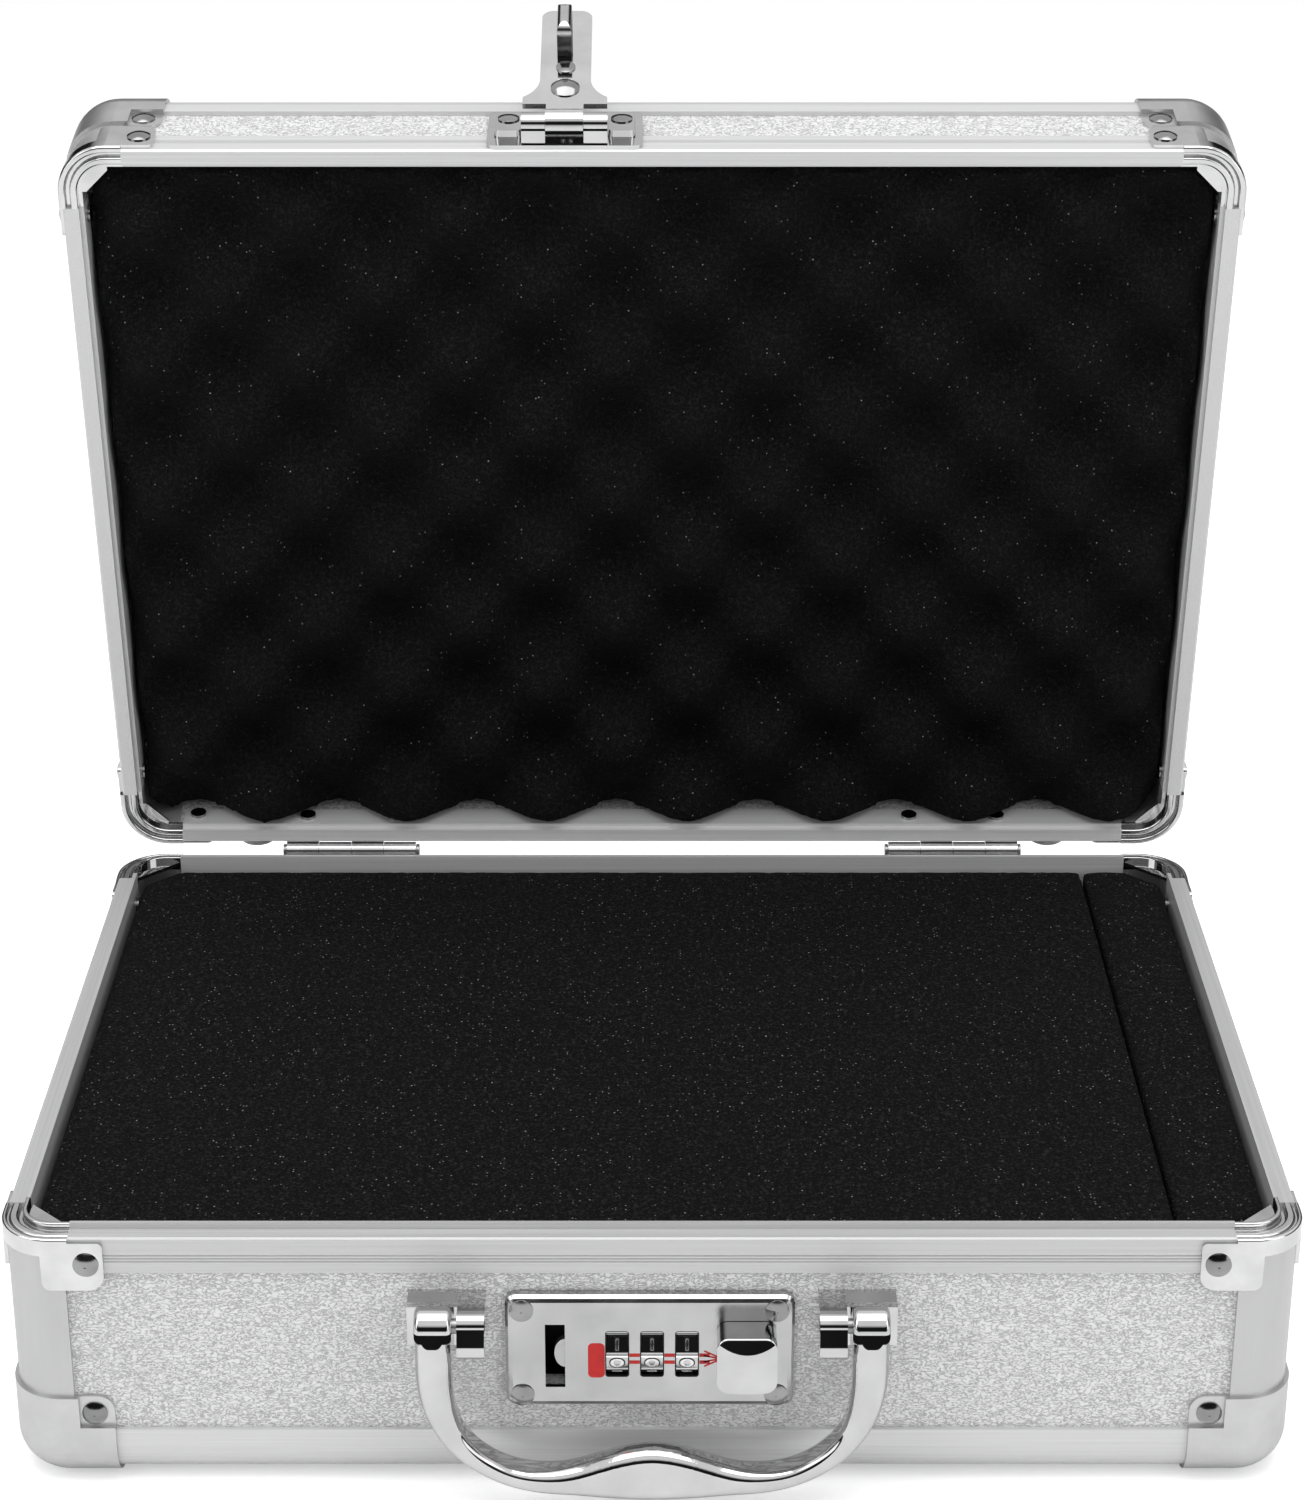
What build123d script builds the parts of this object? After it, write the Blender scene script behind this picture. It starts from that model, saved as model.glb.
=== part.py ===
from build123d import *
import math
import os

# Case, in mm. Heights of each half are measured from the rim plane, z negative into the half.
case_width = 300.0
case_depth = 210.0
base_wall = 66.6
lid_wall = 40.0
lid_open = 80.6
corner_radius = 12.0
edge_radius = 10.0

# Profiles and sheets
skin = 1.2
panel = 3.0
flange = 1.0
rim_leg = 9.3
rim_web = 2.4
rim_end = 16.0
lip_height = 1.5
lip_gap = 0.2
lip_side_gap = 0.1
bead_step = 1.2
post_leg = 14.8
edge_leg = 14.4
web = 1.2
groove_heights = (4.7, 5.5, 6.3)
groove_width = 0.25
groove_depth = 0.2

# Corner hardware
ball_gauge = 1.0
ball_reach = 24.0
band_gauge = 0.9
band_low = 4.5
band_tab_low = 13.5
band_tab_start = 9.5
band_tab_end = 24.0
rim_rivet_inset = 20.0
rim_rivet_height = 6.6
ball_rivet_inset = 19.3
ball_rivet_rise = 18.9
tab_round = 4.0
tab_start_round = 2.0
gusset_gap = 0.2
gusset_gauge = 1.0
gusset_lip = 1.2

# Rivets and fits
shank = 1.5
hole_gap = 0.05
fixed_gap = 0.02
pin_gap = 0.05
head_radius = 3.0
head_height = 1.2
tail_radius = 2.2
tail_height = 0.8

# Hinges
hinge_lift = 2.8
knuckle_radius = 2.4
hinge_pin = 1.25
hinge_inset = 64.0
hinge_width = 37.0
leaf_gauge = 1.0
leaf_top = 0.8
hinge_rivet_height = 5.6
hinge_rivet_reach = 12.5

# Feet
foot_radius = 6.0
foot_proud = 8.0
foot_inset = 35.5
foot_height = 15.6

# Foam
foam_gap = 6.4
foam_chamfer = 9.6
lid_chamfer = 6.0
base_foam_top = 1.6
foam_floor_gap = 0.1
lobe_pitch = 40.0
lobe_x = 10.0
lobe_y = 96.0
lobe_swing = 6.0
lobe_middle = -5.0
strip_width = 28.3
strip_gap = 0.5

# Lock
lock_x = -0.5
lock_z = -29.5
lock_width = 67.0
lock_height = 30.0
lock_gauge = 3.2
lock_bevel = 0.8
lock_brow = 0.32
lock_corner = 2.5
lock_sheet = 1.2
pan_margin = 0.75
pan_border = 0.5
lock_rivet_radius = 2.8
lock_rivet_height = 0.8
lock_rivet_x = (-30.2, 28.9)
lock_rivet_z = (-18.2, -41.1)
slot_low_x = -24.8
slot_high_x = -20.2
slot_top = -22.0
slot_low = -39.0
dial_pitch = 8.1
dial_width = 5.0
dial_radius = 8.0
dial_inset = 4.7
dial_z = -30.0
dial_faces = 10
dial_turn = 14.0
axle_radius = 1.95
window_width = 5.6
window_height = 12.5
slide_gauge = 1.8
button_travel = 4.5
button_low_x = 14.9
button_width = 13.9
button_height = 14.1
button_z = -28.15
button_proud = 8.8
button_crown = 0.9
button_slope = 3.6
button_round = 2.6
catch_low = -34.3
catch_top = -26.7

# Handle
handle_proud = 10.0
handle_z = -17.2
handle_depth = 8.0
arm_out = 54.3
arm_in = 45.7
barrel = 4.5
handle_pin = 1.75
block_out = 44.6
block_in = 38.3
block_proud = 13.5
block_top = -14.4
block_low = -24.4
bracket_out = 56.5
bracket_top = 14.4
bracket_low = 26.0
bracket_body_top = 15.8
bracket_body = 4.3
bracket_plate = 1.2
bracket_rivet_x = 47.4
bracket_rivet_z = (-18.0, -23.0)
arm_scoop = 1.5
grip_outer = ((53.9, -34.0), (52.6, -39.5), (49.5, -46.0), (45.5, -51.2), (41.0, -55.0), (36.0, -58.0),
              (31.0, -60.0), (25.0, -61.4), (18.5, -62.3), (12.0, -63.0), (6.0, -63.45), (0, -63.6))
grip_inner = ((45.9, -33.6), (45.4, -38.3), (44.0, -43.7), (41.6, -47.8), (38.4, -51.1), (34.0, -53.9),
              (29.8, -55.3), (24.5, -55.7), (18.7, -54.8), (12.5, -52.7), (6.6, -50.8), (0, -49.8))

# Hasp, with heights above the rim plane on the closed lid
hasp_x = -22.1
hasp_proud = 5.7
hasp_z = 3.5
hasp_open = 166.4
hasp_knuckle = 2.6
hasp_pin = 1.25
hasp_middle = 9.5
hasp_side = 6.0
hasp_play = 0.1
hasp_gauge = 1.5
hasp_length = 48.5
hasp_curl = 3.6
hasp_root = 7.2
hasp_shoulder = 3.0
hasp_neck = 11.0
hasp_rivet_spots = ((14.0, 3.7, 1.5), (23.0, 2.5, 0.6))
hasp_wide = 21.5
hasp_narrow = 13.0
mount_width = 39.4
mount_low = 0.4
mount_top = 23.0
mount_gauge = 1.0
boss_proud = 3.1
boss_width = 7.0
boss_low = 4.8
boss_top = 17.0
mount_rivet_reach = 14.4
mount_rivet_z = 12.8
staple_x = -22.5
staple_width = 3.7
staple_near = 28.0
staple_far = 40.0
staple_depth = 9.0
staple_gauge = 1.5

half_x = case_width / 2
half_y = case_depth / 2
rim_height = base_wall + ball_gauge
hinge_y = half_y + hinge_lift
hinge_x = half_x - hinge_inset
foot_x = half_x - foot_inset
strip_cut = half_x - strip_width
handle_y = -half_y - handle_proud
block_front = -half_y - block_proud
dial_y = -half_y + dial_inset
hasp_y = -half_y - hasp_proud
inner_face = skin + panel
inner_side = inner_face + flange
panel_face = -half_y + skin
panel_back = -half_y + inner_face
lock_front = panel_face - lock_gauge
slide_back = panel_face - 0.1
slide_front = slide_back - slide_gauge


def facing(side, along, height, proud=0.0):
    """Plane on one outer wall face, with its local z pointing out of the case."""
    if side == "front":
        return Plane(origin=(along, -half_y - proud, height), x_dir=(1, 0, 0), z_dir=(0, -1, 0))
    if side == "rear":
        return Plane(origin=(along, half_y + proud, height), x_dir=(-1, 0, 0), z_dir=(0, 1, 0))
    if side == "left":
        return Plane(origin=(-half_x - proud, along, height), x_dir=(0, -1, 0), z_dir=(-1, 0, 0))
    return Plane(origin=(half_x + proud, along, height), x_dir=(0, 1, 0), z_dir=(1, 0, 0))


def on_base(shape):
    """Stands a base piece on its ball corners."""
    return Pos(0, 0, rim_height) * shape


def swing_lid(shape):
    """Opens a piece of the closed lid about the hinge axis."""
    return Pos(0, hinge_y, rim_height) * Rot(-lid_open, 0, 0) * Pos(0, -hinge_y, 0) * shape


def on_lid(shape):
    """Turns a half-case piece upside down and opens it with the lid."""
    return swing_lid(mirror(shape, about=Plane.XY))


def swing_hasp(shape):
    """Folds a hasp piece back over the open lid."""
    folded = Pos(0, hasp_y, hasp_z) * Rot(-hasp_open, 0, 0) * Pos(0, -hasp_y, -hasp_z) * shape
    return swing_lid(folded)


def write(label, shape):
    with BuildPart() as piece:
        add(shape)
    piece.part.label = label
    export_step(piece.part, f"parts/{label}.step")


def rim_points(is_lid):
    """Rim profile, as distance in from the outer face and height."""
    steps = []
    for height in reversed(groove_heights):
        steps.append((0, -height - groove_width / 2))
        steps.append((groove_depth, -height - groove_width / 2))
        steps.append((groove_depth, -height + groove_width / 2))
        steps.append((0, -height + groove_width / 2))
    legs = [(inner_face, -rim_leg), (inner_face, -rim_web), (skin, -rim_web), (skin, -rim_leg)]
    legs.append((0, -rim_leg))
    if is_lid:
        land = inner_face - lip_side_gap
        shelf = -lip_height - lip_gap
        top = [(0, -0.5), (0.5, 0), (land, 0), (land, shelf), (inner_side, shelf), (inner_side, -rim_leg)]
    else:
        top = [(0, -0.4), (0.4, 0), (inner_face, 0), (inner_face, lip_height), (inner_side, lip_height)]
        top.append((inner_side, -rim_leg))
    return top + legs + steps


def corner_rivet_planes(side, wall):
    """Rivet planes on one wall: one per rim corner and one per ball corner."""
    reach = half_x if side in ("front", "rear") else half_y
    spots = []
    for sign in (-1, 1):
        spots.append((sign * (reach - rim_rivet_inset), -rim_rivet_height))
        spots.append((sign * (reach - ball_rivet_inset), -(wall - ball_rivet_rise)))
    return spots


def hinge_spots():
    spots = []
    for sign in (-1, 1):
        for end in (-1, 1):
            spots.append((sign * hinge_x + end * hinge_rivet_reach, -hinge_rivet_height))
    return spots


def lock_spots():
    return [(x, z) for x in lock_rivet_x for z in lock_rivet_z]


def bracket_spots():
    return [(sign * bracket_rivet_x, z) for sign in (-1, 1) for z in bracket_rivet_z]


def mount_spots():
    return [(hasp_x + sign * mount_rivet_reach, -mount_rivet_z) for sign in (-1, 1)]


def wall_panel(side, wall, spots, cutout=None):
    reach = (half_x if side in ("front", "rear") else half_y) - corner_radius
    top = -rim_web
    low = -(wall - edge_radius)
    with BuildPart() as sheet:
        with BuildSketch(facing(side, 0, (top + low) / 2, -skin)):
            Rectangle(2 * reach, top - low)
        extrude(amount=-panel)
        for along, height in spots:
            with BuildSketch(facing(side, along, height)):
                Circle(shank + hole_gap)
            extrude(amount=-inner_side, mode=Mode.SUBTRACT)
        if cutout:
            low_x, high_x, low_z, high_z = cutout
            with BuildSketch(facing(side, (low_x + high_x) / 2, (low_z + high_z) / 2)):
                Rectangle(high_x - low_x, high_z - low_z)
            extrude(amount=-inner_side, mode=Mode.SUBTRACT)
    return sheet.part


def flat_panel(wall):
    with BuildPart() as sheet:
        with BuildSketch(Plane.XY.offset(-(wall - skin))):
            Rectangle(2 * (half_x - edge_radius), 2 * (half_y - edge_radius))
        extrude(amount=panel)
    return sheet.part


def rim_rails(long_side, is_lid, spots_front, spots_rear):
    """The two rim rails on opposite walls."""
    out = half_y if long_side else half_x
    reach = (half_x if long_side else half_y) - rim_end
    plane = Plane.YZ if long_side else Plane.XZ
    sides = ("front", "rear") if long_side else ("left", "right")
    with BuildPart() as rails:
        with BuildSketch(plane):
            with BuildLine():
                Polyline(*[(-out + u, z) for u, z in rim_points(is_lid)], close=True)
            make_face()
        extrude(amount=reach, both=True)
        mirror(about=Plane.XZ if long_side else Plane.YZ)
        for side, spots in zip(sides, (spots_front, spots_rear)):
            for along, height in spots:
                if -height < rim_leg:
                    with BuildSketch(facing(side, along, height)):
                        Circle(shank + hole_gap)
                    extrude(amount=-inner_side - 1, mode=Mode.SUBTRACT)
    return rails.part


def edge_rails(long_side, wall):
    """The two hollow rounded edge rails on opposite walls."""
    out = half_y if long_side else half_x
    reach = half_x - corner_radius if long_side else half_y - edge_leg
    plane = Plane.YZ if long_side else Plane.XZ
    outline = [(0, edge_leg), (0, 0), (edge_leg, 0), (edge_leg, skin), (edge_radius, skin)]
    outline += [(edge_radius, inner_face), (edge_leg, inner_face), (edge_leg, inner_side)]
    outline += [(inner_side, inner_side), (inner_side, edge_leg), (inner_face, edge_leg)]
    outline += [(inner_face, edge_radius), (skin, edge_radius), (skin, edge_leg)]
    with BuildPart() as rails:
        with BuildSketch(plane):
            with BuildLine():
                Polyline(*[(-out + u, -wall + h) for u, h in outline], close=True)
            make_face()
            corner = vertices().sort_by_distance(Vector(-out, -wall))[0]
            fillet(corner, edge_radius)
        extrude(amount=reach, both=True)
        with BuildSketch(plane):
            tall = edge_radius - web
            with Locations((-out + skin, -wall + skin)):
                Rectangle(panel, tall - skin, align=(Align.MIN, Align.MIN))
                Rectangle(tall - skin, panel, align=(Align.MIN, Align.MIN))
            with Locations((-out + edge_radius, -wall + edge_radius)):
                Circle(edge_radius - skin, mode=Mode.INTERSECT)
        extrude(amount=reach, both=True, mode=Mode.SUBTRACT)
        mirror(about=Plane.XZ if long_side else Plane.YZ)
    return rails.part


def corner_posts(wall):
    """Four hollow upright posts."""
    outline = [(post_leg, 0), (0, 0), (0, post_leg), (skin, post_leg), (skin, corner_radius)]
    outline += [(inner_face, corner_radius), (inner_face, post_leg), (inner_side, post_leg)]
    outline += [(inner_side, inner_side), (post_leg, inner_side), (post_leg, inner_face)]
    outline += [(corner_radius, inner_face), (corner_radius, skin), (post_leg, skin)]
    tall = wall - edge_leg - rim_web
    with BuildPart() as posts:
        with BuildSketch(Plane.XY.offset(-rim_web)):
            with BuildLine():
                Polyline(*[(-half_x + a, -half_y + b) for a, b in outline], close=True)
            make_face()
            fillet(vertices().sort_by_distance(Vector(-half_x, -half_y))[0], corner_radius)
        extrude(amount=-tall)
        with BuildSketch(Plane.XY.offset(-rim_web)):
            long = corner_radius - web - inner_face
            with Locations((-half_x + skin, -half_y + inner_face)):
                Rectangle(panel, long, align=(Align.MIN, Align.MIN))
            with Locations((-half_x + inner_face, -half_y + skin)):
                Rectangle(long, panel, align=(Align.MIN, Align.MIN))
            with Locations((-half_x + corner_radius, -half_y + corner_radius)):
                Circle(corner_radius - skin, mode=Mode.INTERSECT)
        extrude(amount=-tall, mode=Mode.SUBTRACT)
        mirror(about=Plane.YZ)
        mirror(about=Plane.XZ)
    return posts.part


def shell_block(wall, grow, reach, tall):
    """Solid corner of the case with its rounded upright and bottom edges."""
    low = -(wall + grow)
    left = -half_x - grow
    front = -half_y - grow
    with BuildPart() as block:
        with BuildSketch(Plane.XY.offset(low)):
            with Locations((left, front)):
                Rectangle(grow + reach, grow + reach, align=(Align.MIN, Align.MIN))
            fillet(vertices().sort_by_distance(Vector(left, front))[0], corner_radius + grow)
        extrude(amount=tall)
        outer_edges = []
        for edge in block.faces().sort_by(Axis.Z)[0].edges():
            middle = edge.position_at(0.5)
            if middle.X < left + grow + reach - 1 and middle.Y < front + grow + reach - 1:
                outer_edges.append(edge)
        fillet(outer_edges, edge_radius + grow)
    return block.part


def ball_corners(wall):
    """Four pressed corners, each with a tab let down onto the panel on both walls."""
    tall = ball_reach + 0.5
    outer = shell_block(wall, ball_gauge, ball_reach, tall)
    inner = shell_block(wall, 0, ball_reach + 5, tall + 5)
    high = -(wall + ball_gauge) + tall
    rail_top = -(wall - edge_leg)
    with BuildPart() as corners:
        add(outer)
        add(inner, mode=Mode.SUBTRACT)
        for side in ("front", "left"):
            reach = half_x if side == "front" else half_y
            hand = -1 if side == "front" else 1
            near = -(reach - post_leg)
            far = -(reach - ball_reach)
            with BuildSketch(facing(side, (near + far) / 2, (high + rail_top) / 2, ball_gauge)):
                Rectangle(far - near, high - rail_top)
                fillet(vertices().sort_by_distance(Vector(-hand * 50, 50))[0], tab_round)
            extrude(amount=-(ball_gauge + skin))
            with BuildSketch(facing(side, (near + ball_gauge + far) / 2,
                                    (high + rail_top + ball_gauge) / 2, ball_gauge)):
                Rectangle(far - near - ball_gauge, high - rail_top - ball_gauge)
            extrude(amount=-skin, mode=Mode.SUBTRACT)
            with BuildSketch(facing(side, -(reach - ball_rivet_inset), -(wall - ball_rivet_rise))):
                Circle(shank + hole_gap)
            extrude(amount=-inner_side, mode=Mode.SUBTRACT)
        mirror(about=Plane.YZ)
        mirror(about=Plane.XZ)
    return corners.part


def rim_corner_points(is_lid):
    """Beaded rim profile of a corner, each point with its rounding, as distance in and height."""
    out = -band_gauge
    if is_lid:
        land = inner_face - 2 * lip_side_gap
        shelf = -lip_height - lip_gap
        top = [(out, 0, 0.8), (0.9, 0, 0.5), (0.9, -1.5, 0.4), (2.2, -1.5, 0.4), (2.2, 0, 0.5)]
        top += [(land, 0, 0.5), (land, shelf, 0), (inner_side, shelf, 0), (inner_side, -rim_web, 0)]
    else:
        inside = inner_face - lip_side_gap
        tall = lip_height - lip_side_gap
        top = [(out, 0, 0.6), (0.2, 0, 0.3), (0.2, -0.8, 0.2), (0.9, -0.8, 0.2), (0.9, -0.05, 0.5)]
        top += [(2.9, -0.05, 0.5), (2.9, -bead_step, 0.3), (inside, -bead_step, 0.3), (inside, tall, 0.3)]
        top += [(inner_side, tall, 0.3), (inner_side, -rim_web, 0)]
    return top + [(0, -rim_web, 0), (0, -band_low, 0), (out, -band_low, 0)]


def rim_corner_face(points, out):
    """Face of a corner profile, its outside at -out, with its corners rounded."""
    with BuildSketch() as face:
        with BuildLine():
            Polyline(*[(-out + u, z) for u, z, rounding in points], close=True)
        make_face()
        for u, z, rounding in points:
            if rounding:
                fillet(vertices().sort_by_distance(Vector(-out + u, z))[0], rounding)
    return face.sketch


def rim_corners(is_lid):
    """Four rim corners: a curved run of the rim profile, two riveted tabs and a gusset."""
    section = rim_corner_points(is_lid)
    tab = [(-band_gauge, -1.0, 0), (0, -1.0, 0), (0, -band_tab_low, 0), (-band_gauge, -band_tab_low, 0)]
    turn_x = -half_x + corner_radius
    turn_y = -half_y + corner_radius
    upright = Axis((turn_x, turn_y, 0), (0, 0, 1))
    long_plane = Plane.YZ.offset(turn_x)
    end_plane = Plane.XZ.offset(-turn_y)
    with BuildPart() as corners:
        for points, reach in ((section, rim_end - corner_radius), (tab, band_tab_end - corner_radius)):
            with BuildSketch(long_plane):
                add(rim_corner_face(points, half_y))
            extrude(amount=reach)
            with BuildSketch(end_plane):
                add(rim_corner_face(points, half_x))
            extrude(amount=-reach)
            with BuildSketch(end_plane):
                add(rim_corner_face(points, half_x))
            revolve(axis=upright, revolution_arc=90)
        with BuildSketch(Plane.XY.offset(-band_tab_low)):
            with Locations((-half_x - 2, -half_y - 2)):
                Rectangle(band_tab_start + 2, band_tab_start + 2, align=(Align.MIN, Align.MIN))
        extrude(amount=band_tab_low - band_low, mode=Mode.SUBTRACT)
        for along, height, rounding in ((band_tab_end, -1.0, 1.2), (band_tab_end, -band_tab_low, tab_round),
                                        (band_tab_start, -band_tab_low, tab_start_round)):
            spot = Vector(-half_x + along, -half_y - band_gauge / 2, height)
            fillet(edges().filter_by(Axis.Y).sort_by_distance(spot)[0], rounding)
            spot = Vector(-half_x - band_gauge / 2, -half_y + along, height)
            fillet(edges().filter_by(Axis.X).sort_by_distance(spot)[0], rounding)
        for spot in (("front", -(half_x - rim_rivet_inset)), ("left", -(half_y - rim_rivet_inset))):
            with BuildSketch(facing(spot[0], spot[1], -rim_rivet_height, 2)):
                Circle(shank + hole_gap)
            extrude(amount=-4, mode=Mode.SUBTRACT)
        edge = inner_side - gusset_gap
        bend = (corner_radius - edge) * math.sqrt(0.5)
        gusset_top = -lip_height - lip_gap - 0.05 if is_lid else -0.1
        gusset_low = -rim_web + 0.05 if is_lid else gusset_top - gusset_gauge
        with BuildSketch(Plane.XY.offset(gusset_top)):
            with BuildLine():
                ThreePointArc((-half_x + edge, turn_y), (turn_x - bend, turn_y - bend),
                              (turn_x, -half_y + edge))
                if is_lid:
                    Polyline((turn_x, -half_y + edge), (turn_x, -half_y + edge + gusset_lip),
                             (-half_x + edge + gusset_lip, turn_y), (-half_x + edge, turn_y))
                else:
                    Polyline((turn_x, -half_y + edge), (-half_x + rim_end, -half_y + edge),
                             (-half_x + edge, -half_y + rim_end), (-half_x + edge, turn_y))
            make_face()
        extrude(amount=gusset_low - gusset_top)
        mirror(about=Plane.YZ)
        mirror(about=Plane.XZ)
    return corners.part


def rivet(grip, radius=head_radius, height=head_height, tail=tail_radius):
    """Domed rivet with its head's underside at z = 0 and its tail set grip below."""
    rise = height - 0.3
    dome = (radius * radius + rise * rise) / (2 * rise)
    middle = radius * 0.6
    crown = height - dome + math.sqrt(dome * dome - middle * middle)
    with BuildPart() as body:
        with BuildSketch(Plane.XZ):
            with BuildLine():
                Polyline((0, height), (0, -grip - tail_height), (tail, -grip - tail_height),
                         (tail, -grip), (shank, -grip), (shank, 0), (radius, 0), (radius, 0.3))
                ThreePointArc((radius, 0.3), (middle, crown), (0, height))
            make_face()
        revolve(axis=Axis.Z)
    return body.part


def rivets_at(planes, body):
    return [plane.location * body for plane in planes]


def corner_rivets(wall):
    rim = rivet(inner_side + band_gauge)
    ball = rivet(inner_face - (skin - ball_gauge))
    placed = []
    for side in ("front", "rear", "left", "right"):
        spots = corner_rivet_planes(side, wall)
        placed += rivets_at([facing(side, a, z, band_gauge) for a, z in spots[0::2]], rim)
        placed += rivets_at([facing(side, a, z, ball_gauge - skin) for a, z in spots[1::2]], ball)
    return placed


def hinge_leaves(own):
    """Leaves of the two hinges. own lists which of the four knuckles belong to this half."""
    run = hinge_width / 4
    with BuildPart() as leaves:
        with BuildSketch(facing("rear", hinge_x, -(leaf_top + rim_leg) / 2)):
            Rectangle(hinge_width, rim_leg - leaf_top)
        extrude(amount=leaf_gauge)
        for index in range(4):
            start = hinge_x - hinge_width / 2 + index * run
            if index in own:
                with BuildSketch(Plane.YZ.offset(start + 0.08)):
                    with Locations((hinge_y, 0)):
                        Circle(knuckle_radius)
                    with Locations(((half_y + hinge_y) / 2, -(leaf_top + knuckle_radius) / 2)):
                        Rectangle(hinge_lift, knuckle_radius - leaf_top)
                extrude(amount=run - 0.16)
            else:
                with BuildSketch(Plane.YZ.offset(start - 0.08)):
                    with Locations((half_y, -leaf_top)):
                        Rectangle(2 * leaf_gauge, 2.4, align=(Align.MIN, Align.CENTER))
                extrude(amount=run + 0.16, mode=Mode.SUBTRACT)
        with BuildSketch(Plane.YZ.offset(hinge_x)):
            with Locations((hinge_y, 0)):
                Circle(hinge_pin + pin_gap)
        extrude(amount=hinge_width, both=True, mode=Mode.SUBTRACT)
        for end in (-1, 1):
            with BuildSketch(facing("rear", hinge_x + end * hinge_rivet_reach, -hinge_rivet_height)):
                Circle(shank + hole_gap)
            extrude(amount=leaf_gauge, mode=Mode.SUBTRACT)
        mirror(about=Plane.YZ)
    return leaves.part


def hinge_pins():
    reach = hinge_width / 2
    with BuildPart() as pins:
        with BuildSketch(Plane.YZ.offset(hinge_x)):
            with Locations((hinge_y, 0)):
                Circle(hinge_pin)
        extrude(amount=reach, both=True)
        for end in (-1, 1):
            with BuildSketch(Plane.YZ.offset(hinge_x + end * (reach + 0.1))):
                with Locations((hinge_y, 0)):
                    Circle(1.8)
            extrude(amount=end * 0.8)
            with BuildSketch(Plane.YZ.offset(hinge_x + end * reach)):
                with Locations((hinge_y, 0)):
                    Circle(hinge_pin)
            extrude(amount=end * 0.1)
        mirror(about=Plane.YZ)
    return pins.part


def hinge_rivets():
    body = rivet(inner_side + leaf_gauge, 2.6, 0.9)
    return rivets_at([facing("rear", x, z, leaf_gauge) for x, z in hinge_spots()], body)


def feet():
    with BuildPart() as pads:
        for x in (-foot_x, foot_x):
            with BuildSketch(facing("rear", x, -foot_height, -skin)):
                Circle(foot_radius)
            extrude(amount=foot_proud + skin, taper=4)
    return pads.part


def foam_outline(low_x, high_x, cut_left, cut_right):
    """Points of a foam block's outline with its outer corners cut off."""
    y = half_y - foam_gap
    points = [(low_x + cut_left, -y), (high_x - cut_right, -y)]
    if cut_right:
        points.append((high_x, -y + cut_right))
        points.append((high_x, y - cut_right))
    points.append((high_x - cut_right, y))
    points.append((low_x + cut_left, y))
    if cut_left:
        points.append((low_x, y - cut_left))
        points.append((low_x, -y + cut_left))
    return points


def base_foam():
    low = -(base_wall - inner_side) + foam_floor_gap
    with BuildPart() as block:
        with BuildSketch(Plane.XY.offset(low)):
            with BuildLine():
                Polyline(*foam_outline(-half_x + foam_gap, strip_cut, foam_chamfer, 0), close=True)
            make_face()
        extrude(amount=-base_foam_top - low)
        with BuildSketch(Plane.XY.offset(-47.0)):
            with Locations((lock_x, -half_y)):
                Rectangle(lock_width + 3, 36.0)
        extrude(amount=35.0, mode=Mode.SUBTRACT)
    return block.part


def base_foam_strip():
    low = -(base_wall - inner_side) + foam_floor_gap
    with BuildPart() as block:
        with BuildSketch(Plane.XY.offset(low)):
            with BuildLine():
                Polyline(*foam_outline(strip_cut + strip_gap, half_x - foam_gap, 0, foam_chamfer),
                         close=True)
            make_face()
        extrude(amount=-base_foam_top - low)
    return block.part


def lid_foam():
    """Foam sheet with staggered rounded lobes, peaks just past the rim plane."""
    low = -(lid_wall - inner_side) + foam_floor_gap
    across = half_x - foam_gap + 6
    deep = half_y - foam_gap + 6
    rows = []
    for i in range(61):
        x = -across + 2 * across * i / 60
        row = []
        for j in range(45):
            y = -deep + 2 * deep * j / 44
            wave = math.cos(2 * math.pi * (x - lobe_x) / lobe_pitch)
            wave *= math.cos(2 * math.pi * (y - lobe_y) / lobe_pitch)
            row.append(Vector(x, y, lobe_middle + lobe_swing * wave))
        rows.append(row)
    crest = Face.make_surface_from_array_of_points(rows)
    above = Solid.extrude(crest, Vector(0, 0, 30))
    with BuildPart() as sheet:
        with BuildSketch(Plane.XY.offset(low)):
            with BuildLine():
                Polyline(*foam_outline(-half_x + foam_gap, half_x - foam_gap, lid_chamfer, lid_chamfer),
                         close=True)
            make_face()
        extrude(amount=lobe_middle + lobe_swing + 2 - low)
        add(above, mode=Mode.SUBTRACT)
    return sheet.part


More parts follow.
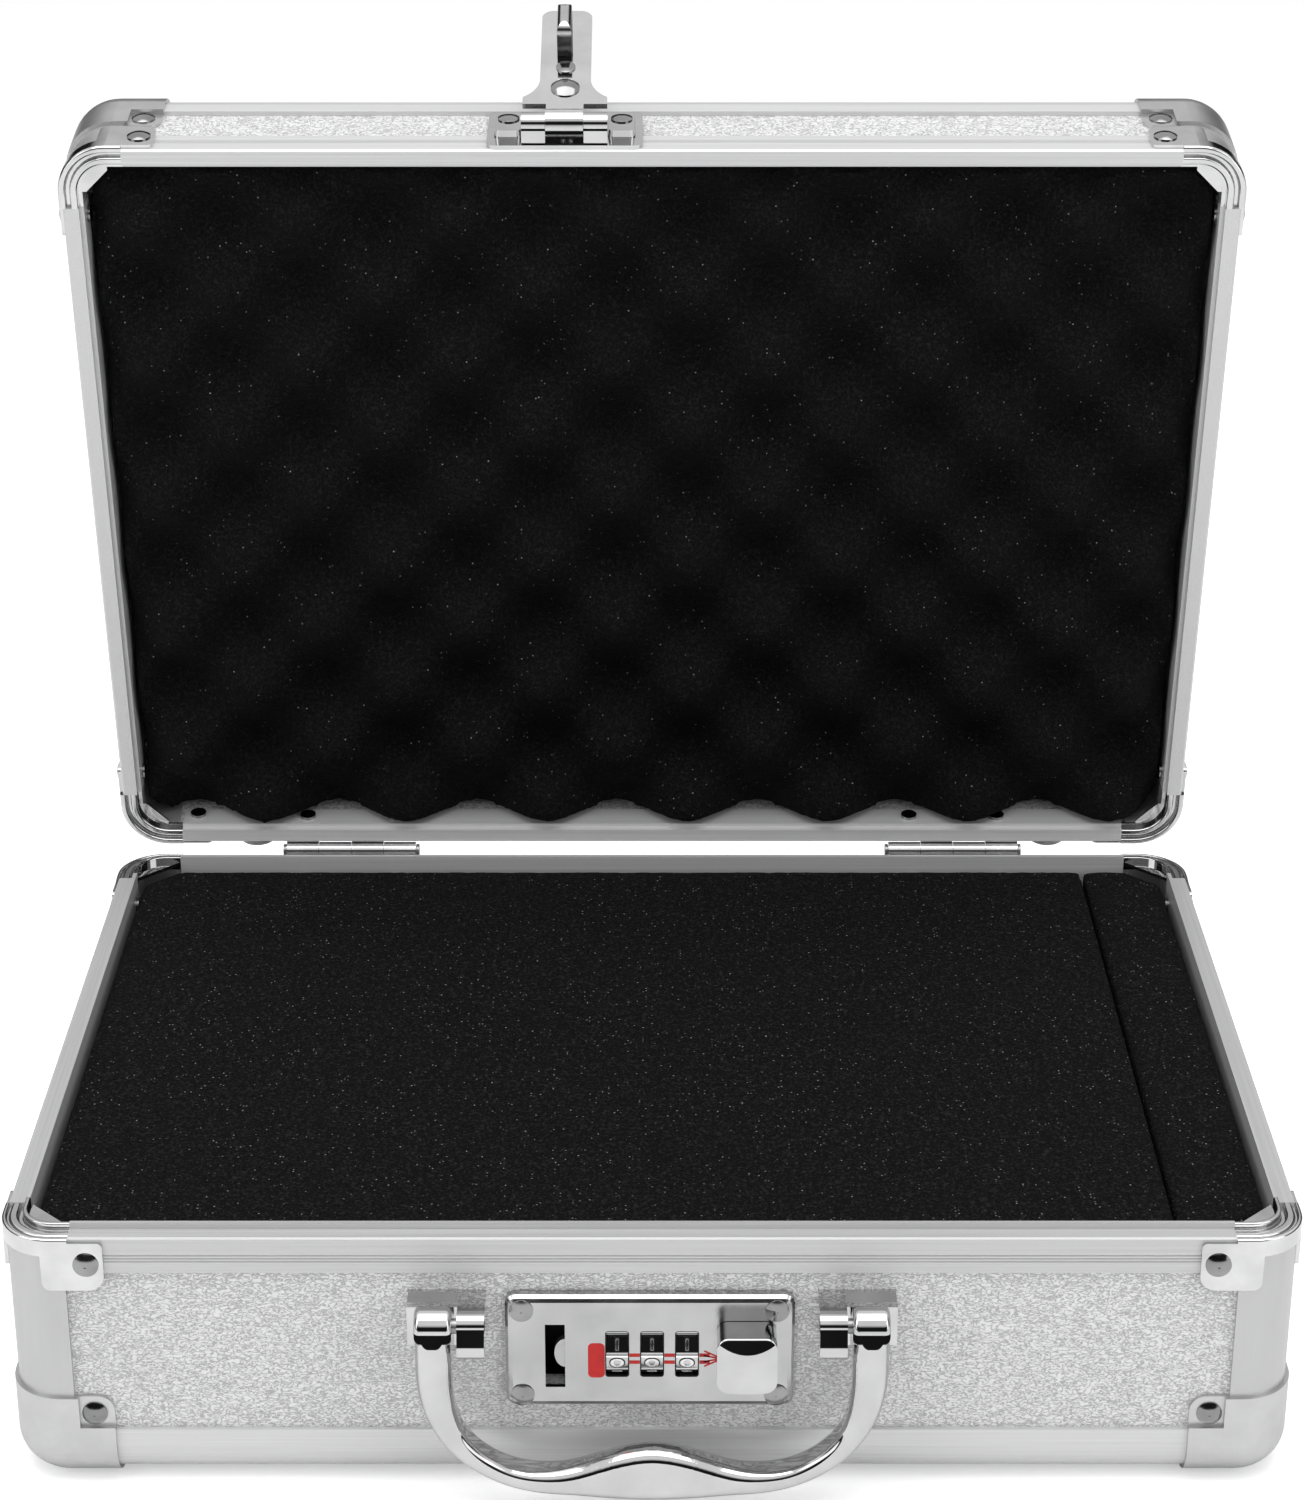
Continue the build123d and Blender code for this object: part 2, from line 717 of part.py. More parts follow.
def lock_plate():
    with BuildPart() as plate:
        with BuildSketch(facing("front", lock_x, lock_z, -skin)):
            RectangleRounded(lock_width, lock_height, lock_corner)
        extrude(amount=lock_gauge - lock_bevel - lock_brow)
        with BuildSketch(facing("front", lock_x, lock_z, lock_gauge - skin - lock_bevel - lock_brow)):
            RectangleRounded(lock_width, lock_height, lock_corner)
        extrude(amount=lock_bevel, taper=40)
        shrink = lock_bevel * math.tan(math.radians(40))
        with BuildSketch(facing("front", lock_x, lock_z, lock_gauge - skin - lock_brow)):
            RectangleRounded(lock_width - 2 * shrink, lock_height - 2 * shrink, lock_corner - shrink)
        extrude(amount=lock_brow, taper=71)
        for low_x, high_x, low_z, high_z in ((slot_low_x, 25.0, -43.1, -21.5), (24.0, 29.3, -38.0, -22.5)):
            with BuildSketch(facing("front", (low_x + high_x) / 2, (low_z + high_z) / 2, -skin)):
                Rectangle(high_x - low_x, high_z - low_z)
            extrude(amount=lock_gauge - lock_sheet, mode=Mode.SUBTRACT)
        with BuildSketch(facing("front", (slot_low_x + slot_high_x) / 2, (slot_top + slot_low) / 2, 4)):
            Rectangle(slot_high_x - slot_low_x, slot_top - slot_low)
        extrude(amount=-8, mode=Mode.SUBTRACT)
        for index in (-1, 0, 1):
            with BuildSketch(facing("front", index * dial_pitch, dial_z, 4)):
                RectangleRounded(window_width, window_height, 0.8)
            extrude(amount=-8, mode=Mode.SUBTRACT)
        with BuildSketch(facing("front", 22.2, -29.5, 4)):
            Rectangle(13.0, 10.0)
        extrude(amount=-8, mode=Mode.SUBTRACT)
        for x, z in lock_spots():
            with BuildSketch(facing("front", x, z, 4)):
                Circle(shank + hole_gap)
            extrude(amount=-8, mode=Mode.SUBTRACT)
        with BuildSketch(facing("front", 2.4, -41.2, -skin)):
            Rectangle(1.4, 1.4)
        extrude(amount=lock_gauge - lock_sheet)
    return plate.part


def lock_rivets():
    grip = lock_gauge + panel + flange
    body = rivet(grip, lock_rivet_radius, lock_rivet_height)
    return rivets_at([facing("front", x, z, lock_gauge - skin) for x, z in lock_spots()], body)


def lock_housing():
    """Pan behind the front panel with two cheeks that hold the dials' axle."""
    with BuildPart() as pan:
        with BuildSketch(facing("front", lock_x, lock_z, -inner_face)):
            Rectangle(lock_width - 2 * pan_margin, lock_height - 2 * pan_border)
        extrude(amount=-flange)
        with BuildSketch(facing("front", -5.5, -30.0, -inner_face - flange)):
            Rectangle(43.5, 24.0)
        extrude(amount=-10.0)
        with BuildSketch(facing("front", -5.5, -30.0, -inner_face)):
            Rectangle(41.5, 22.0)
        extrude(amount=-10.0, mode=Mode.SUBTRACT)
        for low_x in (-14.5, 13.0):
            with BuildSketch(facing("front", low_x + 0.75, -30.0, -2.2)):
                Rectangle(1.5, 8.0)
            extrude(amount=-12.4)
        with BuildSketch(Plane.YZ.offset(-20)):
            with Locations((dial_y, dial_z)):
                Circle(axle_radius + fixed_gap)
        extrude(amount=40, mode=Mode.SUBTRACT)
        for x, z in lock_spots():
            with BuildSketch(facing("front", x, z)):
                Circle(shank + hole_gap)
            extrude(amount=-8, mode=Mode.SUBTRACT)
    return pan.part


def dial_axle():
    with BuildPart() as axle:
        with BuildSketch(Plane.YZ.offset(-14.5)):
            with Locations((dial_y, dial_z)):
                Circle(axle_radius)
        extrude(amount=29.0)
    return axle.part


def dial(x):
    """Ten-sided drum with a finger notch at each corner."""
    with BuildPart() as drum:
        with BuildSketch(Plane.YZ.offset(x - dial_width / 2)):
            with Locations((dial_y, dial_z)):
                RegularPolygon(dial_radius, dial_faces, rotation=18 + dial_turn)
                Circle(axle_radius + pin_gap, mode=Mode.SUBTRACT)
            with Locations(Location((dial_y, dial_z, 0), 18 + dial_turn)):
                with PolarLocations(dial_radius + 0.1, dial_faces):
                    Circle(0.7, mode=Mode.SUBTRACT)
        extrude(amount=dial_width)
    return drum.part


def latch_slide():
    """Bent plate behind the lock face: catch at the slot, bar under the dials, pad at the button."""
    with BuildPart() as slide:
        with BuildSketch(Plane.XZ.offset(-slide_back)):
            with BuildLine():
                Polyline((-17.0, -25.6), (-17.0, -39.4), (15.7, -39.4), (15.7, -25.0), (24.4, -25.0),
                         (24.4, -34.0), (20.2, -34.0), (20.2, -42.8), (slot_high_x, -42.8),
                         (slot_high_x, -25.6), close=True)
            make_face()
            with Locations((slot_high_x, (catch_low + catch_top) / 2)):
                Ellipse(2.5, (catch_top - catch_low) / 2)
            with Locations((-2.0, -41.2)):
                Rectangle(20.0, 2.0, mode=Mode.SUBTRACT)
        extrude(amount=slide_gauge)
    return slide.part


def button_spring():
    """Flat zigzag spring between the slide's window and the plate's nub."""
    wire = 0.3
    points = []
    count = 12
    low_x = -11.95
    high_x = 1.65
    for index in range(count + 1):
        x = low_x + (high_x - low_x) * index / count
        z = -41.2 + (0.75 if index % 2 else -0.75)
        points.append((x, z))
    with BuildPart() as spring:
        with BuildSketch(Plane.XZ.offset(-slide_back + 0.5)):
            with BuildLine():
                Polyline(*points)
            trace(line_width=wire)
        extrude(amount=0.8)
    return spring.part


def release_button():
    """Square thumb block with a crowned front, a sloped brow under its top edge and a stem."""
    back = lock_front - 0.2
    front = lock_front - button_proud
    top = button_z + button_height / 2
    low = button_z - button_height / 2
    high_x = button_low_x + button_width
    middle = button_low_x + button_width / 2
    with BuildPart() as button:
        with BuildSketch(Plane.XZ.offset(-back)):
            with Locations((middle, button_z)):
                RectangleRounded(button_width, button_height, button_round)
        extrude(amount=back - front)
        with BuildSketch(Plane.XY.offset(low)):
            with BuildLine():
                side = front + button_crown
                ThreePointArc((button_low_x, side), (middle, front), (high_x, side))
                Polyline((high_x, side), (high_x, back), (button_low_x, back), (button_low_x, side))
            make_face()
        extrude(amount=button_height, mode=Mode.INTERSECT)
        with BuildSketch(Plane.YZ.offset(button_low_x)):
            with BuildLine():
                Polyline((front - 1, top + 1), (front + button_slope / 3, top + 1),
                         (front + button_slope / 3, top), (front, top - button_slope),
                         (front - 1, top - button_slope), (front - 1, top + 1))
            make_face()
        extrude(amount=button_width, mode=Mode.SUBTRACT)
        brow = edges().filter_by(Axis.X).sort_by_distance(Vector(middle, front + button_slope / 3, top))[0]
        fillet(brow, 0.5)
        with BuildSketch(Plane.XZ.offset(-slide_front)):
            with Locations((19.95, -29.5)):
                Rectangle(8.1, 9.0)
        extrude(amount=slide_front - back + 0.3)
    return button.part


def handle():
    """Drop handle with a waved grip, lofted through rounded sections, and a barrel on each arm."""
    middle_x = (arm_out + arm_in) / 2
    arm_low = grip_outer[0][1] + 5.0
    stations = []
    for height in (handle_z, (handle_z + arm_low) / 2, arm_low):
        stations.append(((arm_out, height), (arm_in + 0.3, height)))
    stations += list(zip(grip_outer, grip_inner))
    stations += [((-outer[0], outer[1]), (-inner[0], inner[1])) for outer, inner in reversed(stations[:-1])]
    with BuildPart() as grip:
        for outer, inner in stations:
            across = Vector(outer[0] - inner[0], 0, outer[1] - inner[1])
            middle = ((outer[0] + inner[0]) / 2, handle_y, (outer[1] + inner[1]) / 2)
            with BuildSketch(Plane(origin=middle, x_dir=across, z_dir=across.cross(Vector(0, 1, 0)))):
                RectangleRounded(across.length, handle_depth, 0.4 * min(across.length, handle_depth))
        loft()
        for hand in (-1, 1):
            with BuildSketch(Plane(origin=(hand * middle_x, handle_y, handle_z), z_dir=(0, 0, 1))):
                Rectangle(arm_out - arm_in, barrel, align=(Align.CENTER, Align.MIN))
                fillet(vertices().group_by(Axis.Y)[-1], 1.4)
            revolve(axis=Axis((0, handle_y, handle_z), (1, 0, 0)))
        with BuildSketch(Plane.YZ.offset(-arm_out - 1)):
            with BuildLine():
                front = handle_y - handle_depth / 2
                ledge = handle_z + 0.3
                foot = ledge - 3 * arm_scoop
                Polyline((front - 2, ledge), (front + arm_scoop, ledge), (front - 0.1, foot),
                         (front - 2, foot), close=True)
            make_face()
        extrude(amount=2 * arm_out + 2, mode=Mode.SUBTRACT)
        with BuildSketch(Plane.YZ.offset(-arm_out + 1.0)):
            with Locations((handle_y, handle_z)):
                Circle(handle_pin + fixed_gap)
        extrude(amount=2 * arm_out - 2.0, mode=Mode.SUBTRACT)
    return grip.part


def handle_pins():
    with BuildPart() as pins:
        for start in (-arm_out + 1.0, block_in + 1.0):
            with BuildSketch(Plane.YZ.offset(start)):
                with Locations((handle_y, handle_z)):
                    Circle(handle_pin)
            extrude(amount=arm_out - block_in - 2.0)
    return pins.part


def handle_bracket(sign):
    """Cast bracket: back plate, body behind the arm and pivot block with a sloped face beside it."""
    middle = sign * (bracket_out + block_in) / 2
    wide = bracket_out - block_in
    crest = (block_front + 4.1, block_top)
    brow = (block_front + 1.5, block_top - 2.6)
    chin = (block_front + 0.3, block_top - 6.2)
    front = (block_front, block_top - 7.6)
    with BuildPart() as bracket:
        with BuildSketch(facing("front", middle, -(bracket_top + bracket_low) / 2, -skin)):
            Rectangle(wide, bracket_low - bracket_top)
        extrude(amount=bracket_plate)
        body_middle = -(bracket_body_top + bracket_low) / 2
        with BuildSketch(facing("front", middle, body_middle, bracket_plate - skin)):
            Rectangle(wide, bracket_low - bracket_body_top)
        extrude(amount=bracket_body)
        with BuildSketch(Plane.YZ.offset(sign * block_in if sign > 0 else -block_out)):
            with BuildLine():
                Line((panel_face, block_top), crest)
                ThreePointArc(crest, (block_front + 2.45, block_top - 0.75), brow)
                Line(brow, chin)
                ThreePointArc(chin, (block_front + 0.08, block_top - 6.9), front)
                Polyline(front, (block_front, block_low + 1.0), (block_front + 0.8, block_low),
                         (panel_face, block_low), (panel_face, block_top))
            make_face()
        extrude(amount=block_out - block_in)
        with BuildSketch(Plane.YZ.offset(sign * block_in - sign)):
            with Locations((handle_y, handle_z)):
                Circle(handle_pin + pin_gap)
        extrude(amount=sign * (block_out - block_in + 2), mode=Mode.SUBTRACT)
        for z in bracket_rivet_z:
            with BuildSketch(facing("front", sign * bracket_rivet_x, z, -skin)):
                Circle(shank + hole_gap)
            extrude(amount=3.4, mode=Mode.SUBTRACT)
    return bracket.part


def bracket_rivets():
    """Blind rivets set from inside the case, heads against the panel's back."""
    with BuildPart() as body:
        with BuildSketch(Plane.XY):
            Circle(tail_radius)
        extrude(amount=tail_height)
        with BuildSketch(Plane.XY):
            Circle(shank)
        extrude(amount=-panel - 3.2)
    placed = []
    for x, z in bracket_spots():
        inward = Plane(origin=(x, panel_back, z), x_dir=(1, 0, 0), z_dir=(0, 1, 0))
        placed.append(inward.location * body.part)
    return placed


def hasp_mount():
    """Plate on the closed lid's front with two knuckles for the hasp."""
    inner_end = hasp_middle / 2 + hasp_play
    with BuildPart() as mount:
        with BuildSketch(facing("front", hasp_x, (mount_low + mount_top) / 2)):
            RectangleRounded(mount_width, mount_top - mount_low, 2.0)
        extrude(amount=mount_gauge)
        for sign in (-1, 1):
            start = hasp_x + sign * inner_end
            with BuildSketch(Plane.YZ.offset(start)):
                with Locations((hasp_y, hasp_z)):
                    Circle(hasp_knuckle)
                with Locations((hasp_y, hasp_z - hasp_knuckle + 0.3)):
                    Rectangle(-half_y - hasp_y, hasp_knuckle * 2 - 0.3, align=(Align.MIN, Align.MIN))
            extrude(amount=sign * hasp_side)
            boss_middle = (boss_low + boss_top) / 2
            with BuildSketch(facing("front", hasp_x + sign * mount_rivet_reach, boss_middle, mount_gauge)):
                RectangleRounded(boss_width, boss_top - boss_low, 1.5)
            extrude(amount=boss_proud - mount_gauge, taper=8)
            with BuildSketch(facing("front", hasp_x + sign * mount_rivet_reach, mount_rivet_z)):
                Circle(shank + hole_gap)
            extrude(amount=boss_proud + 1, mode=Mode.SUBTRACT)
        with BuildSketch(Plane.YZ.offset(hasp_x - 15)):
            with Locations((hasp_y, hasp_z)):
                Circle(hasp_pin + fixed_gap)
        extrude(amount=30, mode=Mode.SUBTRACT)
    return mount.part


def mount_rivets():
    body = rivet(boss_proud + inner_face, 2.75, 0.9)
    planes = [facing("front", x, mount_rivet_z, boss_proud) for x, z in mount_spots()]
    return rivets_at(planes, body)


def hasp_plate():
    """Tapered plate hanging from its curl, in the closed pose."""
    half = hasp_wide / 2
    slim = hasp_narrow / 2
    root = hasp_z - hasp_root
    shoulder = root - hasp_shoulder
    neck = root - hasp_neck
    tip = hasp_z - hasp_length
    with BuildPart() as plate:
        with BuildSketch(Plane.XZ.offset(-hasp_y)):
            with BuildLine():
                Polyline((hasp_x, hasp_z), (hasp_x + hasp_middle / 2, hasp_z),
                         (hasp_x + hasp_middle / 2, root), (hasp_x + half, root), (hasp_x + half, shoulder))
                ThreePointArc((hasp_x + half, shoulder), (hasp_x + slim + 1.1, (shoulder + neck) / 2 + 0.6),
                              (hasp_x + slim, neck))
                Line((hasp_x + slim, neck), (hasp_x + slim, tip + 3.0))
                ThreePointArc((hasp_x + slim, tip + 3.0), (hasp_x + slim - 0.9, tip + 0.9),
                              (hasp_x + slim - 3.0, tip))
                Polyline((hasp_x + slim - 3.0, tip), (hasp_x, tip), (hasp_x, hasp_z))
            make_face()
            mirror(about=Plane.YZ.offset(hasp_x))
        extrude(amount=hasp_gauge / 2, both=True)
        with BuildSketch(Plane.YZ.offset(hasp_x)):
            with Locations((hasp_y, hasp_z)):
                Circle(hasp_curl)
        extrude(amount=hasp_middle / 2, both=True)
        with BuildSketch(Plane.YZ.offset(hasp_x)):
            with Locations((hasp_y, hasp_z)):
                Circle(hasp_pin + pin_gap)
        extrude(amount=hasp_middle, both=True, mode=Mode.SUBTRACT)
        with BuildSketch(Plane.XZ.offset(-hasp_y)):
            for along in (staple_near + staple_gauge / 2, staple_far - staple_gauge / 2):
                with Locations((staple_x, hasp_z - along)):
                    Rectangle(staple_width + 2 * fixed_gap, staple_gauge + 2 * fixed_gap)
            for along, radius, height in hasp_rivet_spots:
                with Locations((hasp_x, hasp_z - along)):
                    Circle(shank + hole_gap)
        extrude(amount=hasp_gauge, both=True, mode=Mode.SUBTRACT)
    return plate.part


def hasp_staple():
    tip = hasp_y + hasp_gauge / 2 + staple_depth
    near = hasp_z - staple_near
    far = hasp_z - staple_far
    with BuildPart() as staple:
        with BuildSketch(Plane.YZ.offset(staple_x)):
            with Locations(((hasp_y - hasp_gauge / 2 + tip) / 2, (near + far) / 2)):
                Rectangle(tip - hasp_y + hasp_gauge / 2, near - far)
            fillet(vertices().group_by(Axis.X)[-1], 3.0)
            with Locations(((hasp_y - hasp_gauge / 2 + tip) / 2 - staple_gauge, (near + far) / 2)):
                Rectangle(tip - hasp_y + hasp_gauge / 2, near - far - 2 * staple_gauge, mode=Mode.SUBTRACT)
        extrude(amount=staple_width / 2, both=True)
        with BuildSketch(Plane.XY.offset(far)):
            with Locations((staple_x, (hasp_y - hasp_gauge / 2 + tip) / 2)):
                Rectangle(staple_width, tip - hasp_y + hasp_gauge / 2)
            fillet(vertices().group_by(Axis.Y)[-1], staple_width / 2 - 0.05)
        extrude(amount=near - far, mode=Mode.INTERSECT)
    return staple.part


def hasp_rivets():
    """Domed rivet and smaller screw head on the hasp's inner face."""
    placed = []
    for along, radius, height in hasp_rivet_spots:
        body = rivet(hasp_gauge, radius, height, 1.9)
        spot = (hasp_x, hasp_y + hasp_gauge / 2, hasp_z - along)
        inner = Plane(origin=spot, x_dir=(-1, 0, 0), z_dir=(0, 1, 0))
        placed.append(inner.location * body)
    return placed


def hasp_pin_part():
    reach = hasp_middle / 2 + hasp_play + hasp_side
    with BuildPart() as pin:
        with BuildSketch(Plane.YZ.offset(hasp_x - reach)):
            with Locations((hasp_y, hasp_z)):
                Circle(hasp_pin)
        extrude(amount=2 * reach)
    return pin.part


os.makedirs("parts", exist_ok=True)

for half, wall, place in (("base", base_wall, on_base), ("lid", lid_wall, on_lid)):
    is_lid = half == "lid"
    front = corner_rivet_planes("front", wall)
    ends = corner_rivet_planes("left", wall)
    if is_lid:
        write("lid_front_panel", place(wall_panel("front", wall, front + mount_spots())))
    else:
        front_spots = front + lock_spots() + bracket_spots()
        write("base_front_panel", place(wall_panel("front", wall, front_spots, (-26.0, 15.0, -39.5, -20.5))))
    write(f"{half}_rear_panel", place(wall_panel("rear", wall, front + hinge_spots())))
    write(f"{half}_left_panel", place(wall_panel("left", wall, ends)))
    write(f"{half}_right_panel", place(wall_panel("right", wall, ends)))
    write("lid_top_panel" if is_lid else "base_bottom_panel", place(flat_panel(wall)))
    write(f"{half}_long_rims", place(rim_rails(True, is_lid, front, front + hinge_spots())))
    write(f"{half}_end_rims", place(rim_rails(False, is_lid, ends, ends)))
    write(f"{half}_long_edges", place(edge_rails(True, wall)))
    write(f"{half}_end_edges", place(edge_rails(False, wall)))
    write(f"{half}_corner_posts", place(corner_posts(wall)))
    write(f"{half}_rim_corners", place(rim_corners(is_lid)))
    write(f"{half}_ball_corners", place(ball_corners(wall)))
    write(f"{half}_corner_rivets", [place(body) for body in corner_rivets(wall)])
    write(f"{half}_feet", place(feet()))
    write(f"hinge_{half}_leaves", place(hinge_leaves((1, 3) if is_lid else (0, 2))))
    write(f"hinge_{half}_rivets", [place(body) for body in hinge_rivets()])

write("base_foam", on_base(base_foam()))
write("base_foam_strip", on_base(base_foam_strip()))
write("lid_foam", on_lid(lid_foam()))
write("hinge_pins", on_base(hinge_pins()))
write("lock_plate", on_base(lock_plate()))
write("lock_plate_rivets", [on_base(body) for body in lock_rivets()])
write("lock_housing", on_base(lock_housing()))
write("dial_axle", on_base(dial_axle()))
for index in (-1, 0, 1):
    write(f"dial_{index + 2}", on_base(dial(index * dial_pitch)))
write("latch_slide", on_base(latch_slide()))
write("button_spring", on_base(button_spring()))
write("release_button", on_base(release_button()))
write("handle", on_base(handle()))
write("handle_pins", on_base(handle_pins()))
write("handle_left_bracket", on_base(handle_bracket(-1)))
write("handle_right_bracket", on_base(handle_bracket(1)))
write("handle_bracket_rivets", [on_base(body) for body in bracket_rivets()])
write("hasp_mount", swing_lid(hasp_mount()))
write("hasp_mount_rivets", [swing_lid(body) for body in mount_rivets()])
write("hasp_plate", swing_hasp(hasp_plate()))
write("hasp_staple", swing_hasp(hasp_staple()))
write("hasp_rivets", [swing_hasp(body) for body in hasp_rivets()])
write("hasp_pin", swing_lid(hasp_pin_part()))
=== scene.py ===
import math

import bpy
from mathutils import Matrix, Vector, noise


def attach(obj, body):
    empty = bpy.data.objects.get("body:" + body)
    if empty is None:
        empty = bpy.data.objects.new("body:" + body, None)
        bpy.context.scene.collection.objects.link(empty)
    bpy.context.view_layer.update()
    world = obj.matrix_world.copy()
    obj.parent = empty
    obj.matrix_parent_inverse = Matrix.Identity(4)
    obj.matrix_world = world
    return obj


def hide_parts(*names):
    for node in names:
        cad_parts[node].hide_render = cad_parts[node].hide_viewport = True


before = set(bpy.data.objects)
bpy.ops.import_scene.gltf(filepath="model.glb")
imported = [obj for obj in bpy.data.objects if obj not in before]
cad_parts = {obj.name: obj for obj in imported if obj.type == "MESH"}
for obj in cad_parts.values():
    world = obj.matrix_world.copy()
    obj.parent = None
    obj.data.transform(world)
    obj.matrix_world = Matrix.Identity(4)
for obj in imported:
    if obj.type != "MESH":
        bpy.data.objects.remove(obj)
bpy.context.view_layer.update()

# Height of the base's rim plane, in metres. Places on the lock are in mm, with heights from that plane.
RIM = 0.0676
LOCK_FACE = -107.0
# Ten-sided dials on one axis, given by its y and height. Their front facets look down by the turn, in degrees.
DIAL_AXIS = (-100.3, -30.0)
DIAL_PITCH = 8.1
DIAL_RADIUS = 8.0
DIAL_FACETS = 10
DIAL_TURN = 14.0


def linear(code):
    """sRGB hex colour as linear RGBA."""
    parts = [int(code[i:i + 2], 16) / 255 for i in (0, 2, 4)]
    return tuple(c / 12.92 if c <= 0.04045 else ((c + 0.055) / 1.055) ** 2.4 for c in parts) + (1.0,)


def add(tree, kind, settings=None, links=None, stops=None, **inputs):
    """Adds one node with its properties, input values, links from other nodes and colour stops."""
    node = tree.nodes.new(kind)
    for name, value in (settings or {}).items():
        setattr(node, name, value)
    for name, value in inputs.items():
        node.inputs[name.replace("_", " ")].default_value = value
    for name, source in (links or {}).items():
        tree.links.new(source, node.inputs[name])
    # The first two stops take over the ramp's own two.
    for index, (place, code) in enumerate(stops or ()):
        bar = node.color_ramp.elements
        element = bar[index] if index < 2 else bar.new(place)
        element.position = place
        element.color = linear(code)
    return node


def new_material(name, **sockets):
    """Node material, with values for its shader's own inputs."""
    material = bpy.data.materials.new(name)
    material.use_nodes = True
    shader = material.node_tree.nodes["Principled BSDF"]
    for key, value in sockets.items():
        shader.inputs[key.replace("_", " ")].default_value = value
    return material, material.node_tree, shader


def grained_sheet():
    """Plastic-faced sheet, embossed by a grained roller: soft silver sheen, thin wandering creases."""
    material, tree, shader = new_material("silver_leathergrain_sheet", Metallic=0.25, Roughness=0.44)
    place = add(tree, "ShaderNodeTexCoord")
    # Creases run about twice as long along the sheet as they are tall.
    grain = add(tree, "ShaderNodeMapping", links={"Vector": place.outputs["Object"]}, Scale=(0.5, 0.5, 1))
    # Scale 1500 per metre: the noise crosses its middle value every 0.4 mm, and each crossing is a crease.
    field = add(tree, "ShaderNodeTexNoise", links={"Vector": grain.outputs["Vector"]}, Scale=1500, Detail=1,
                Roughness=0.5, Distortion=0.5)
    offset = add(tree, "ShaderNodeMath", {"operation": "SUBTRACT"}, {0: field.outputs["Fac"]})
    middle = add(tree, "ShaderNodeMath", {"operation": "ABSOLUTE"}, {0: offset.outputs["Value"]})
    crease_and_shade = add(tree, "ShaderNodeMapRange", {"interpolation_type": "SMOOTHSTEP"},
                 {"Value": middle.outputs["Value"]}, From_Min=0.0, From_Max=0.12)
    # Darker colour in the creases: painted shade in them, on top of their real depth from the bump.
    tone = add(tree, "ShaderNodeValToRGB", links={"Fac": crease_and_shade.outputs["Result"]},
               stops=((0.0, "aaaaaa"), (0.6, "d6d6d6"), (1.0, "e0e0e0")))
    tree.links.new(tone.outputs["Color"], shader.inputs["Base Color"])
    # Creases 0.16 mm deep.
    bump = add(tree, "ShaderNodeBump", links={"Height": crease_and_shade.outputs["Result"]}, Strength=0.8,
               Distance=0.00016)
    tree.links.new(bump.outputs["Normal"], shader.inputs["Normal"])
    return material


def drawn_metal(name, colour, roughness, scale, metallic, lined=0.1):
    """Extruded or pressed aluminium, anodised: satin, with faint lines along the way it was drawn."""
    material, tree, shader = new_material(name, Metallic=metallic)
    place = add(tree, "ShaderNodeTexCoord")
    along = add(tree, "ShaderNodeMapping", links={"Vector": place.outputs["Object"]}, Scale=scale)
    lines = add(tree, "ShaderNodeTexNoise", links={"Vector": along.outputs["Vector"]}, Scale=1.0, Detail=4,
                Roughness=0.6)
    tone = add(tree, "ShaderNodeValToRGB", links={"Fac": lines.outputs["Fac"]},
               stops=((0.25, colour[0]), (0.75, colour[1])))
    tree.links.new(tone.outputs["Color"], shader.inputs["Base Color"])
    rough = add(tree, "ShaderNodeMapRange", links={"Value": lines.outputs["Fac"]},
                To_Min=roughness - lined / 2, To_Max=roughness + lined)
    tree.links.new(rough.outputs["Result"], shader.inputs["Roughness"])
    bump = add(tree, "ShaderNodeBump", links={"Height": lines.outputs["Fac"]}, Strength=0.04,
               Distance=0.0002)
    tree.links.new(bump.outputs["Normal"], shader.inputs["Normal"])
    return material


def plated(name, light, dark, roughness):
    """Polished and plated metal: mirror-like, with faint wear and haze in broad patches."""
    material, tree, shader = new_material(name, Metallic=1.0)
    place = add(tree, "ShaderNodeTexCoord")
    # Scale 90 per metre: the haze changes over about 11 mm.
    haze = add(tree, "ShaderNodeTexNoise", links={"Vector": place.outputs["Object"]}, Scale=90, Detail=4)
    tone = add(tree, "ShaderNodeValToRGB", links={"Fac": haze.outputs["Fac"]},
               stops=((0.3, dark), (0.7, light)))
    tree.links.new(tone.outputs["Color"], shader.inputs["Base Color"])
    rough = add(tree, "ShaderNodeMapRange", links={"Value": haze.outputs["Fac"]},
                To_Min=roughness * 0.7, To_Max=roughness * 1.5)
    tree.links.new(rough.outputs["Result"], shader.inputs["Roughness"])
    return material


